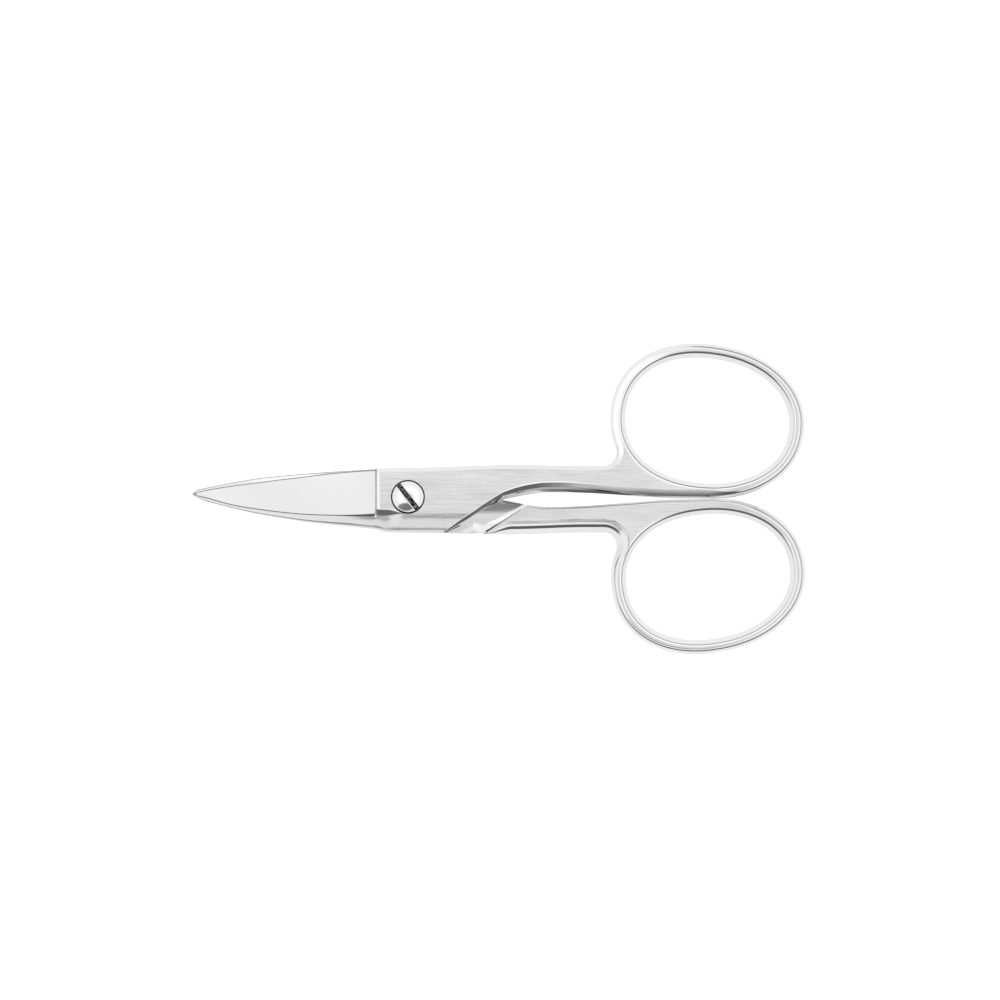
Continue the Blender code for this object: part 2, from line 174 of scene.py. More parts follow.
sky.links.new(brightness, dimmed.inputs["Factor"])
dark_level = arithmetic(sky, "MULTIPLY", near, NEAR_DARK - FAR_DARK)
dark_level = arithmetic(sky, "ADD", dark_level, FAR_DARK)
sideways = arithmetic(sky, "SUBTRACT", 1.0, arithmetic(sky, "ABSOLUTE", share))
dark_level = arithmetic(sky, "ADD", dark_level, arithmetic(sky, "MULTIPLY", sideways, SIDE_LIFT))
sky.links.new(dark_level, dimmed.inputs[6])
sky.links.new(tent.outputs["Color"], dimmed.inputs[7])
tent_light = node(sky, "ShaderNodeBackground")
sky.links.new(dimmed.outputs[2], tent_light.inputs["Color"])
white = node(sky, "ShaderNodeBackground")
_, direct = seen_directly(sky)
shown = node(sky, "ShaderNodeMixShader")
sky.links.new(direct, shown.inputs[0])
sky.links.new(tent_light.outputs[0], shown.inputs[1])
sky.links.new(white.outputs[0], shown.inputs[2])
sky.links.new(shown.outputs[0], node(sky, "ShaderNodeOutputWorld").inputs["Surface"])

floor_mesh = bpy.data.meshes.new("floor")
corners = [(x * FLOOR_SIZE / 2, y * FLOOR_SIZE / 2, -FLOOR_DROP)
           for x, y in ((-1, -1), (1, -1), (1, 1), (-1, 1))]
floor_mesh.from_pydata(corners, [], [(0, 1, 2, 3)])
floor = bpy.data.objects.new("floor", floor_mesh)
bpy.context.scene.collection.objects.link(floor)
floor_paint = bpy.data.materials.new("floor_paint")
floor_paint.use_nodes = True
tree = floor_paint.node_tree
paint = tree.nodes["Principled BSDF"]
paint.inputs["Base Color"].default_value = (FLOOR_COLOUR, FLOOR_COLOUR, FLOOR_COLOUR, 1)
paint.inputs["Roughness"].default_value = FLOOR_ROUGHNESS
paint.inputs["Specular IOR Level"].default_value = FLOOR_SPECULAR
glow = node(tree, "ShaderNodeEmission")
paths, direct = seen_directly(tree)
glow_rays = arithmetic(tree, "MAXIMUM", arithmetic(tree, "MULTIPLY", direct, FLOOR_GLOW),
                       arithmetic(tree, "MULTIPLY", paths["Is Glossy Ray"], FLOOR_GLOW_REFLECTED))
tree.links.new(glow_rays, glow.inputs["Strength"])
added = node(tree, "ShaderNodeAddShader")
tree.links.new(paint.outputs[0], added.inputs[0])
tree.links.new(glow.outputs[0], added.inputs[1])
tree.links.new(added.outputs[0], tree.nodes["Material Output"].inputs["Surface"])
floor_mesh.materials.append(floor_paint)


# Forged halves: each is one steel forging, with its blade, shank and finger ring. The body
# and the handle are brushed lengthwise, the blade's face is ground flat and mirror polished,
# and the ring's hole is drafted and polished. The rear half is the same pattern turned over.

# All sizes are in millimetres. x runs from the pivot to the rings, y to the outer edge and
# z up from the face where the halves meet.
FACE_GAP = 0.04
PIVOT_OFF_CENTRE = 0.5
HANDLE_LEAN = math.radians(0.3)
PIVOT_TO_TIP = 31.5
PIVOT_TO_SHOULDER = 4.8
PIVOT_TO_HEEL = 5.3
PIVOT_TO_RING = 44.0
HALF_WIDTH = 4.9
BODY_THICKNESS = 1.9
EDGE_THICKNESS = 0.2
CREASE_HEIGHT = 1.55
BEND_START = 7.0
BEND_RADIUS = 72.0
HOLE_LENGTH = 24.1
HOLE_WIDTH = 18.3
STRAND_WIDTH = 2.22
FAR_THINNING = 0.15
RING_GAP = 0.05
RING_LEAN = math.radians(-7.2)
OVAL_POWER = 2.15
OVAL_TAPER_SHARE = 0.035
HOLE_DRAFT = 0.6
RING_THICKNESS = 3.1
THINNING_SHARES = (0.2, 0.68)
FILLET_RADIUS = 2.0

# Outlines, as shares of the distance to the ring and of the half width
INNER_EDGE_SHARES = (
    (0.192, -0.63), (0.251, -0.29), (0.308, -0.03), (0.334, 0.04), (0.373, 0.11),
    (0.414, 0.17), (0.454, 0.212), (0.533, 0.214), (0.613, 0.186), (0.692, 0.139),
    (0.773, 0.086), (0.86, 0.035),
)
OUTER_EDGE_SHARES = ((0.55, 1.0), (0.42, 1.035), (0.33, 1.045), (0.2, 1.015), (0.08, 0.985))
LOWER_EDGE_SHARES = (-0.87, -0.96, -0.985)
SHOULDER_TOP_SHARE = 0.96
REAR_INSET = 0.5
REAR_INSET_END = -2.2
# Blade: distance from the pivot, then cutting edge, crease, spine and the crease's height
FRONT_BLADE_SHARES = (
    (1.0, 0.24, 0.22, 0.205, 0.25),
    (0.975, 0.275, 0.175, 0.11, 0.36),
    (0.933, 0.34, 0.12, -0.005, 0.45),
    (0.821, 0.455, -0.085, -0.205, 0.55),
    (0.709, 0.547, -0.215, -0.378, 0.66),
    (0.597, 0.64, -0.315, -0.51, 0.76),
    (0.485, 0.72, -0.385, -0.63, 0.85),
    (0.373, 0.806, -0.418, -0.718, 0.92),
    (0.262, 0.871, -0.422, -0.792, 0.97),
    (0.152, 0.915, -0.39, -0.865, 1.0),
)
REAR_BLADE_SHARES = (
    (1.0, -0.2, -0.225, -0.24, 0.25),
    (0.975, -0.16, -0.28, -0.35, 0.36),
    (0.933, -0.06, -0.31, -0.414, 0.45),
    (0.821, 0.14, -0.43, -0.553, 0.55),
    (0.709, 0.31, -0.51, -0.675, 0.66),
    (0.597, 0.445, -0.555, -0.75, 0.76),
    (0.485, 0.56, -0.57, -0.814, 0.85),
    (0.373, 0.652, -0.565, -0.867, 0.92),
    (0.262, 0.73, -0.535, -0.904, 0.97),
    (0.152, 0.8, -0.47, -0.943, 1.0),
)

# Edge profiles, each from its foot on the wall up to the face: shares of height and of width
FLANK = ((0, 0), (0.22, 0.066), (0.437, 0.139), (0.592, 0.286), (0.891, 0.739), (1, 1))
BLADE_FLANK = ((0, 0), (0.3, 0.09), (0.56, 0.184), (0.73, 0.388), (0.86, 0.68), (1, 1))
HEEL = ((0, 0), (0.2, 0.07), (0.39, 0.15), (0.66, 0.5), (0.933, 0.85), (1, 1))
INNER_WALL = ((0, 0), (0.135, 0.133), (0.27, 0.267), (0.709, 0.467), (0.983, 0.867), (1, 1))
TURN_WALL = ((0, 0), (0.15, 0.1), (0.3, 0.2), (0.302, 0.201), (0.991, 0.923), (1, 1))
OUTER_WALL = ((0, 0), (0.37, 0.2), (0.74, 0.4), (0.903, 0.605), (0.953, 0.75), (1, 1))
BEVEL = ((0, 0), (0.35, 0.05), (0.5, 0.14), (0.67, 0.4), (0.84, 0.7), (1, 1))
CHAMFER = ((0, 0), (0.171, 0.12), (0.426, 0.36), (0.664, 0.6), (0.886, 0.84), (1, 1))
RIM = ((0, 0), (0.4, 0.25), (0.775, 0.517), (0.93, 0.713), (0.975, 0.85), (1, 1))
BROAD_RIM = ((0, 0), (0.5, 0.09), (0.8, 0.208), (0.868, 0.45), (0.936, 0.73), (1, 1))

# Sizes of the edges. One that changes along x, or along the ring's outline, is its first
# value and then the smooth steps that change it: the amount, where it starts and where it
# ends. A pair is only where such a step starts and ends.
# Low wall: the body's flank, the wedge ground into the face beside the screw, and the
# shank's wall with the facets that lean and turn
FLANK_WIDTH = 2.87
FLANK_HEIGHT = 1.21
FLANK_NARROWING = 0.72
NARROWING_LENGTH = 4.2
WEDGE_WIDTH = 0.85
WEDGE_SLOPE = 0.6
WEDGE_FADE = (-3.3, -0.3)
WEDGE_LOWERING = 0.3
WALL_LEANS = (9.5, 18.0)
WALL_TURNS = (24.0, 36.0)
HEEL_FADE = (0.0, 0.6)
WALL_WIDTH = (0.3, (0.5, PIVOT_TO_HEEL, 8.5), (0.85, *WALL_LEANS), (-0.35, 22.0, 32.0))
WALL_RISE = (0.645, (0.145, *WALL_LEANS), (-0.19, 22.0, 33.0))
CROWNED_FACET = 3
FACET_CROWN = 0.018
# Bevel along the top, chamfer underneath, and the lean of the high wall below the bevel
TOP_BEVEL_WIDTH = 0.6
TOP_BEVEL_HEIGHT = 0.3
UNDER_CHAMFER = 0.4
UNDER_CHAMFER_HEIGHT = 1.13 * UNDER_CHAMFER
LEAN_WIDTH = (0.22, (1.83, 11.3, 15.3))
LEAN_HEIGHT = (0.2, (1.7, 11.3, 15.3))
# Shoulder, and the blade with the chamfer along its crease and the bevel of its edge
SHOULDER_BREAK = 0.27
SHOULDER_ROUND = 0.6
SHOULDER_DROPS = (0.29, 0.055, 0)
SHOULDER_FOOT = 1.3
SHOULDER_FADE = 0.4
SHOULDER_RUN = 0.1
SHOULDER_NEAR = (-9.0, -PIVOT_TO_SHOULDER)
CREASE_CHAMFER = (0.13, (0.25, -11.0, -5.0))
CREASE_CHAMFER_SHARE = 0.25
CREASE_CHAMFER_SLOPE = 0.52
BLADE_FLANK_RISE = (0.58, (-0.16, *SHOULDER_NEAR))
BLADE_FLANK_SHARE = 0.8
BLADE_UNDER_CHAMFER = 0.14
EDGE_BEVEL = 0.11
EDGE_BEVEL_SHARE = 0.2
EDGE_BEVEL_SLOPE = 0.95
# Ring: its rounded rim, and how the shank's edges become the rim from either end
RIM_WIDTH = 0.87
RIM_HEIGHT = 1.15
RIM_ABOVE = (15.0, 21.0)
RIM_RISE = (17.0, 25.0)
RIM_UNDER = (14.0, 26.0)
BEVEL_TO_RIM = (0.0, 4.0)
LEAN_TO_RIM = (3.0, 10.0)
FAR_RIM = (18.0, 28.0)
OUTER_WIDTH = (TOP_BEVEL_WIDTH, (0.6, 0.0, 5.0), (-0.33, *FAR_RIM))
OUTER_HEIGHT = (TOP_BEVEL_HEIGHT, (0.67, 0.0, 5.0), (0.18, *FAR_RIM))
OUTER_UNDER_WIDTH = (2.05, (-1.18, 1.0, 7.0))
OUTER_UNDER_HEIGHT = (1.9, (-0.75, 2.0, 9.0))
JOIN_TURN = (0.0, 3.0)
END_TURN = (0.0, 0.5)

# The ground band across the underside: its two lines, as distance from the pivot and angle,
# the slope down it, the share of it before the steep end, and the hollow that leads to it
SCOOP_DISTANCE = 8.3
SCOOP_ANGLE = math.radians(-26.7)
SCOOP_END = 10.21
SCOOP_END_ANGLE = math.radians(-32.7)
RAMP_SLOPE = 0.15
RAMP_END = 0.93
HOLLOW_DEPTH = 0.38
HOLLOW_AXIS = 3.3
HOLLOW_STARTS = (4.3, 5.6)

# Rows round a section: those of an edge with its chamfer, of an upright wall and of a face,
# and the first row past the low wall, past the top and past the high wall
FACET_ROWS = 3
ROUND_ROWS = 5 * FACET_ROWS + 2
WALL_ROWS = 3
FACE_ROWS = 24
LOW_END = 2 * ROUND_ROWS + WALL_ROWS
TOP_END = LOW_END + FACE_ROWS
HIGH_END = TOP_END + LOW_END
FACE_CROWDING = 1.5
# The hole's wall from the face to half height: share of the half thickness and of the draft
HOLE_SHARES = ((1, 1.6), (0.99, 1.44), (0.98, 1.28), (0.948, 1.187), (0.916, 1.093), (0.885, 1.0),
               (0.76, 0.86), (0.65, 0.73), (0.53, 0.6), (0.41, 0.46), (0.28, 0.31), (0.15, 0.14),
               (0.06, 0.03), (0, 0))
WEB_ROWS = 12
BLADE_STATIONS = 170
STATION_STEP = 0.16
FINE_STEP = 0.06
FINE_STATIONS = (9.2, 18.5)
CONTOUR_STEP = 0.22
LEAST_STEP = 0.05
CURVE_STEP = 0.05
CIRCLE_STEPS = 7200
FILLET_STEPS = 400
BISECTIONS = 50
NORMAL_SMOOTHING = 4
BORE_SEGMENTS = 96
EDGE_ANGLE = math.radians(12)
SLACK = 0.01
LINE_SLACK = 0.001
WELD_DISTANCE = 0.0002
# Between these distances from the ends of the ring's outline, the web's lines point at the
# middle of the hole. The first line meets the hole FIRST_LEAD before the first of these, and
# the last line LAST_LAG past the bearing of the outline's first point.
FIRST_RADIAL = 20.0
LAST_RADIAL = 2.2
FIRST_LEAD = math.radians(56)
LAST_LAG = math.radians(1.3)

# Finishes, in the order of the halves' materials, and where one fades into the other
# DARK is painted shade: the dark steel on the walls of the bores round the screw.
BRUSHED, POLISHED, DARK = range(3)
WEB_END = 50.0
WEB_FADE = (43.0, 49.0)
FLANK_FADE = (-14.0, -2.0)
PATCH_POLISH = 0.55
FILLET_STATIONS = 30


def ramp(x, start, end):
    """0 before start, 1 after end, and the smooth step 3t^2 - 2t^3 between."""
    t = np.clip((x - start) / (end - start), 0, 1)
    return t * t * (3 - 2 * t)


def stepped(x, size):
    """A size at each x: its first value plus the sum of amount times ramp over its steps."""
    value, *steps = size
    for amount, start, end in steps:
        value = value + amount * ramp(x, start, end)
    return value


def smooth_curve(points, step):
    """The Catmull-Rom curve through the points, sampled about every step."""
    points = np.array(points, float)
    padded = np.vstack((2 * points[0] - points[1], points, 2 * points[-1] - points[-2]))
    result = []
    for before, start, end, after in zip(padded, padded[1:], padded[2:], padded[3:]):
        count = max(1, math.ceil(np.linalg.norm(end - start) / step))
        t = (np.arange(count) / count)[:, None]
        result.append(0.5 * (2 * start + (end - before) * t
                             + (2 * before - 5 * start + 4 * end - after) * t ** 2
                             + (3 * start - before - 3 * end + after) * t ** 3))
    return np.vstack(result + [points[-1:]])


def oval(angle, margin):
    """The ring's oval at angles from its own long axis: x follows |cos|^(2/p) and y follows
    |sin|^(2/p), y is wider on the left by the taper, and both are turned by RING_LEAN."""
    across = np.sign(np.cos(angle)) * np.abs(np.cos(angle)) ** (2 / OVAL_POWER)
    up = np.sign(np.sin(angle)) * np.abs(np.sin(angle)) ** (2 / OVAL_POWER)
    x = (HOLE_LENGTH / 2 + margin) * across
    y = (HOLE_WIDTH / 2 + margin) * up * (1 - OVAL_TAPER_SHARE * across)
    return np.stack((x * math.cos(RING_LEAN) - y * math.sin(RING_LEAN),
                     x * math.sin(RING_LEAN) + y * math.cos(RING_LEAN)), axis=-1)


# Outlines of the pattern. The rim of the ring runs anticlockwise from its lowest point.
rim_angles = np.arange(CIRCLE_STEPS) * math.tau / CIRCLE_STEPS
rim = oval(rim_angles, STRAND_WIDTH - FAR_THINNING * np.maximum(np.sin(rim_angles), 0) ** 2)
lowest = int(np.argmin(rim[:, 1]))
ring_centre = np.array((PIVOT_TO_RING, RING_GAP / 2 - rim[lowest, 1]))
rim = ring_centre + np.roll(rim, -lowest, axis=0)
left, right = ring_centre[0] - HOLE_LENGTH, ring_centre[0]
for _ in range(BISECTIONS):
    fillet_centre = np.array(((left + right) / 2, HALF_WIDTH + FILLET_RADIUS))
    distances = np.linalg.norm(rim - fillet_centre, axis=1)
    if distances.min() > FILLET_RADIUS:
        left = fillet_centre[0]
    else:
        right = fillet_centre[0]
touch = int(np.argmin(distances))
fillet_start = math.atan2(*(rim[touch] - fillet_centre)[::-1])
fillet_turn = np.linspace(fillet_start, -math.pi / 2, FILLET_STEPS)
fillet = fillet_centre + FILLET_RADIUS * np.column_stack((np.cos(fillet_turn), np.sin(fillet_turn)))
join_x = fillet_centre[0]

pair = np.array((PIVOT_TO_RING, HALF_WIDTH))
shoulder_width, middle_width, heel_width = (share * HALF_WIDTH for share in LOWER_EDGE_SHARES)
heel = (PIVOT_TO_HEEL, heel_width)
inner_edge = smooth_curve([heel, *(pair * INNER_EDGE_SHARES), rim[0]], CURVE_STEP)
outer_edge = smooth_curve([(join_x, HALF_WIDTH), *(pair * OUTER_EDGE_SHARES),
                           (-PIVOT_TO_SHOULDER, SHOULDER_TOP_SHARE * HALF_WIDTH)],
                          CURVE_STEP)[::-1]
lower_edge = smooth_curve([(-PIVOT_TO_SHOULDER, shoulder_width),
                           (-PIVOT_TO_SHOULDER / 2, middle_width), heel], CURVE_STEP)
low_edge = np.vstack((lower_edge[:-1], inner_edge))


def interface_height(x, y):
    """The underside: flat at half the gap, then ground slightly hollow, and past
    SCOOP_DISTANCE across the heel down the scoop, a ramp that ends steeply, to full depth."""
    along = -math.sin(SCOOP_ANGLE) * x + math.cos(SCOOP_ANGLE) * y
    gone = along - SCOOP_DISTANCE
    to_go = SCOOP_END + math.sin(SCOOP_END_ANGLE) * x - math.cos(SCOOP_END_ANGLE) * y
    t = np.where(to_go <= 0, 1, np.maximum(gone, 0) / (np.abs(gone) + np.abs(to_go)))
    beside = (y - HOLLOW_AXIS) / np.where(y < HOLLOW_AXIS, -HOLLOW_AXIS, HALF_WIDTH - HOLLOW_AXIS)
    hollow = HOLLOW_DEPTH * ramp(along, *HOLLOW_STARTS) * np.maximum(0, 1 - beside ** 2)
    shallow = FACE_GAP / 2 + hollow - RAMP_SLOPE * np.maximum(gone, 0)
    steep = np.maximum(t - RAMP_END, 0) / (1 - RAMP_END)
    return shallow + (-BODY_THICKNESS - FACE_GAP / 2 - shallow) * steep


def scoop_line(x, distance, angle):
    """The y of the line that lies that far from the pivot and runs at that angle, at each x."""
    return (distance + math.sin(angle) * x) / math.cos(angle)


def stack(*columns):
    """The blocks of columns side by side."""
    return np.concatenate(columns, axis=1)


def spread(first, last, count):
    """count columns of values in even steps from first to last, row by row."""
    return first[:, None] + (last - first)[:, None] * np.linspace(0, 1, count)


def profile(points, soft=0):
    """The rows of an edge profile: FACET_ROWS to each facet, and the facets' corners rounded
    that many times by averaging each row with its neighbours."""
    points = np.array(points, float)
    rows = np.arange(FACET_ROWS * (len(points) - 1) + 1) / FACET_ROWS
    shares = np.column_stack([np.interp(rows, np.arange(len(points)), column)
                              for column in points.T])
    for _ in range(soft):
        shares[1:-1] = (shares[:-2] + 2 * shares[1:-1] + shares[2:]) / 4
    return shares


def blend(first, second, amount):
    """Profiles along the stations: the first where amount is 0, the second where it is 1."""
    return first + (second - first) * amount[:, None, None]


def edge_rows(width, height, shares, chamfer, chamfer_drop):
    """The edge of a face: offsets from the silhouette and drops below the face, from the
    upright wall up to the flat. The last row is the top of a chamfer, where there is one."""
    across = stack(width[:, None] * shares[:, :, 1], (width + chamfer)[:, None])
    below = chamfer_drop[:, None]
    return across, stack(height[:, None] * (1 - shares[:, :, 0]) + below, 0 * below)


def low_wall(x):
    """The width, height and profile of the low wall's upper edge, and its chamfer: a rounded
    flank up to the heel, then a wall ground in facets that leans up to the face and turns
    into the ring's. One of the facets is crowned along a parabola there."""
    body, upper, turn = x <= PIVOT_TO_HEEL, ramp(x, *WALL_LEANS), ramp(x, *WALL_TURNS)
    chamfer = WEDGE_WIDTH * (1 - ramp(x, *WEDGE_FADE))
    before_pivot = 1 - np.clip((x + PIVOT_TO_SHOULDER) / NARROWING_LENGTH, 0, 1)
    wall_width = stepped(x, WALL_WIDTH)
    width = np.where(body, FLANK_WIDTH - FLANK_NARROWING * before_pivot, wall_width)
    height = np.where(body, FLANK_HEIGHT - WEDGE_LOWERING * chamfer,
                      wall_width * stepped(x, WALL_RISE))
    shape = blend(profile(HEEL), profile(INNER_WALL), ramp(upper, *HEEL_FADE))
    shape = blend(shape, profile(TURN_WALL), turn)
    across = np.arange(FACET_ROWS + 1) / FACET_ROWS
    foot = CROWNED_FACET * FACET_ROWS
    crown = FACET_CROWN * turn[:, None] * 4 * across * (1 - across)
    shape[:, foot:foot + FACET_ROWS + 1, 0] += crown
    shape = np.where(body[:, None, None], profile(FLANK), shape)
    return width, height, shape, chamfer


def flank_height(y):
    """The height of the body's rounded flank at y, carried on straight past the heel."""
    shares = profile(FLANK)
    drop = np.interp(y - heel_width, FLANK_WIDTH * shares[:, 1], FLANK_HEIGHT * (1 - shares[:, 0]))
    return BODY_THICKNESS - drop


def shoulder_drop(x):
    """The shoulder's broken edge: a steep chamfer at the blade, then a shallow one."""
    return np.interp(x + PIVOT_TO_SHOULDER, (0, SHOULDER_BREAK, SHOULDER_ROUND), SHOULDER_DROPS)


def handle_sections(x, side):
    """Closed sections of the body and shank at each x: y and z, each stations by rows. The
    order is up the low wall, over the top, down the high wall and back underneath."""
    low = np.interp(x, *low_edge.T)
    inset = (side < 0) * REAR_INSET * (1 - ramp(x, -PIVOT_TO_SHOULDER, REAR_INSET_END))
    high = np.interp(x, *outer_edge.T) - inset
    zero = np.zeros_like(x)
    low_width, low_height, low_shape, chamfer = low_wall(x)
    high_width, high_height = zero + TOP_BEVEL_WIDTH, zero + TOP_BEVEL_HEIGHT
    under, under_height = zero + UNDER_CHAMFER, zero + UNDER_CHAMFER_HEIGHT
    lean_width, lean_height = stepped(x, LEAN_WIDTH), stepped(x, LEAN_HEIGHT)
    offset, drop = edge_rows(low_width, low_height, low_shape, chamfer, WEDGE_SLOPE * chamfer)
    under_offset, under_drop = edge_rows(under, under_height, profile(CHAMFER)[None], zero, zero)
    low_y = low[:, None] + stack(under_offset[:, ::-1], np.zeros((len(x), WALL_ROWS)), offset)
    start = np.maximum(under_height - BODY_THICKNESS, interface_height(x, low))
    level = np.where(x > PIVOT_TO_HEEL, flank_height(low + low_width), BODY_THICKNESS)
    wall = spread(start, level - drop[:, 0], WALL_ROWS + 2)[:, 1:-1]
    low_z = stack(under_drop[:, ::-1] - BODY_THICKNESS, wall, level[:, None] - drop)
    share = (np.arange(1, FACE_ROWS + 1) / (FACE_ROWS + 1)) ** FACE_CROWDING
    face_start = low + low_width + chamfer
    top_y = face_start[:, None] + (high - high_width - face_start)[:, None] * share
    top_z = np.where(x[:, None] > PIVOT_TO_HEEL, flank_height(top_y), BODY_THICKNESS)
    offset, drop = edge_rows(high_width, high_height, profile(BEVEL, 1)[None], zero, zero)
    under_offset, under_drop = edge_rows(lean_width, lean_height, profile(OUTER_WALL)[None],
                                         zero, zero)
    high_y = high[:, None] - stack(offset[:, ::-1], np.zeros((len(x), WALL_ROWS)), under_offset)
    start = np.maximum(lean_height - BODY_THICKNESS, interface_height(x, high))
    wall = spread(BODY_THICKNESS - high_height, start, WALL_ROWS + 2)[:, 1:-1]
    high_z = stack(BODY_THICKNESS - drop[:, ::-1], wall, under_drop - BODY_THICKNESS)
    first, last = high - lean_width, low + under
    end_line = np.clip(scoop_line(x, SCOOP_END, SCOOP_END_ANGLE), last, first)
    start_line = np.clip(scoop_line(x, SCOOP_DISTANCE, SCOOP_ANGLE), last, end_line)
    third = FACE_ROWS // 3
    steep_line = end_line + (start_line - end_line) * (1 - RAMP_END)
    under_y = stack(spread(first, end_line, third + 1)[:, 1:],
                    spread(end_line, steep_line, 3)[:, 1:],
                    spread(steep_line, start_line, third - 1)[:, 1:],
                    spread(start_line, last, third + 1)[:, 1:])
    y = stack(low_y, top_y, high_y, under_y)
    z = stack(low_z, top_z, high_z, -BODY_THICKNESS * np.ones_like(under_y))
    z -= shoulder_drop(x)[:, None] * np.clip((z - SHOULDER_FOOT) / SHOULDER_FADE, 0, 1)
    return y, np.maximum(z, interface_height(x[:, None] + 0 * y, y))


def blade_sections(x, rows):
    """Closed sections of the blade in the same order of rows: up the rounded spine, over
    the flat face that falls to the cutting edge, and back along the inner face."""
    sizes = (-PIVOT_TO_TIP, HALF_WIDTH, HALF_WIDTH, HALF_WIDTH, CREASE_HEIGHT)
    along = smooth_curve(np.array(rows) * sizes, CURVE_STEP)
    cut, crease, spine, height = (np.interp(x, along[:, 0], column) for column in along.T[1:])
    zero = np.zeros_like(x)
    inner = zero + FACE_GAP / 2
    crease_chamfer = np.minimum(stepped(x, CREASE_CHAMFER), CREASE_CHAMFER_SHARE * (crease - spine))
    flank_width = crease - crease_chamfer - spine
    depth = np.minimum(flank_width * stepped(x, BLADE_FLANK_RISE), BLADE_FLANK_SHARE * height)
    shape = blend(profile(BLADE_FLANK), profile(FLANK), ramp(x, *SHOULDER_NEAR))
    offset, drop = edge_rows(flank_width, depth, shape, crease_chamfer,
                             CREASE_CHAMFER_SLOPE * crease_chamfer)
    under = zero + BLADE_UNDER_CHAMFER
    under_offset, under_drop = edge_rows(under, under, profile(CHAMFER)[None], zero, zero)
    low_y = spine[:, None] + stack(under_offset[:, ::-1], np.zeros((len(x), WALL_ROWS)), offset)
    facet_z = height[:, None] - drop
    wall = spread(inner + under, facet_z[:, 0], WALL_ROWS + 2)[:, 1:-1]
    low_z = stack(inner[:, None] + under_drop[:, ::-1], wall, facet_z)
    bevel = np.minimum(EDGE_BEVEL, EDGE_BEVEL_SHARE * (cut - crease))
    bevel_height = EDGE_THICKNESS + (height - EDGE_THICKNESS) * bevel / (cut - crease)
    top_y = spread(crease, cut - bevel, FACE_ROWS + 2)[:, 1:-1]
    top_z = spread(height, bevel_height, FACE_ROWS + 2)[:, 1:-1]
    high_y = cut[:, None] * np.ones(LOW_END)
    high_y[:, 0] -= bevel
    bevel_foot = bevel_height - EDGE_BEVEL_SLOPE * bevel
    high_z = stack(bevel_height[:, None], spread(bevel_foot, inner, ROUND_ROWS + WALL_ROWS),
                   inner[:, None] * np.ones(ROUND_ROWS - 1))
    under_y = spread(cut, spine + under, FACE_ROWS // 3 * 3 + 1)[:, 1:]
    return (stack(low_y, top_y, high_y, under_y),
            stack(low_z, top_z, high_z, inner[:, None] * np.ones_like(under_y)))


def thin_handle(points):
    """Thins the handle towards the ring: the height is scaled by a smooth step along x."""
    thin_start, thin_end = (share * PIVOT_TO_RING for share in THINNING_SHARES)
    thinner = 1 - RING_THICKNESS / (2 * BODY_THICKNESS)
    points[:, 2] *= 1 - thinner * ramp(points[:, 0], thin_start, thin_end)
    return points


def grid_faces(rows, columns, wrap):
    """The quads of a grid of rows by columns, closed across the columns if wrap is set."""
    row, column = np.meshgrid(np.arange(rows - 1), np.arange(columns if wrap else columns - 1),
                              indexing="ij")
    after = (column + 1) % columns
    return np.stack((row * columns + column, row * columns + after,
                     (row + 1) * columns + after, (row + 1) * columns + column), axis=-1)


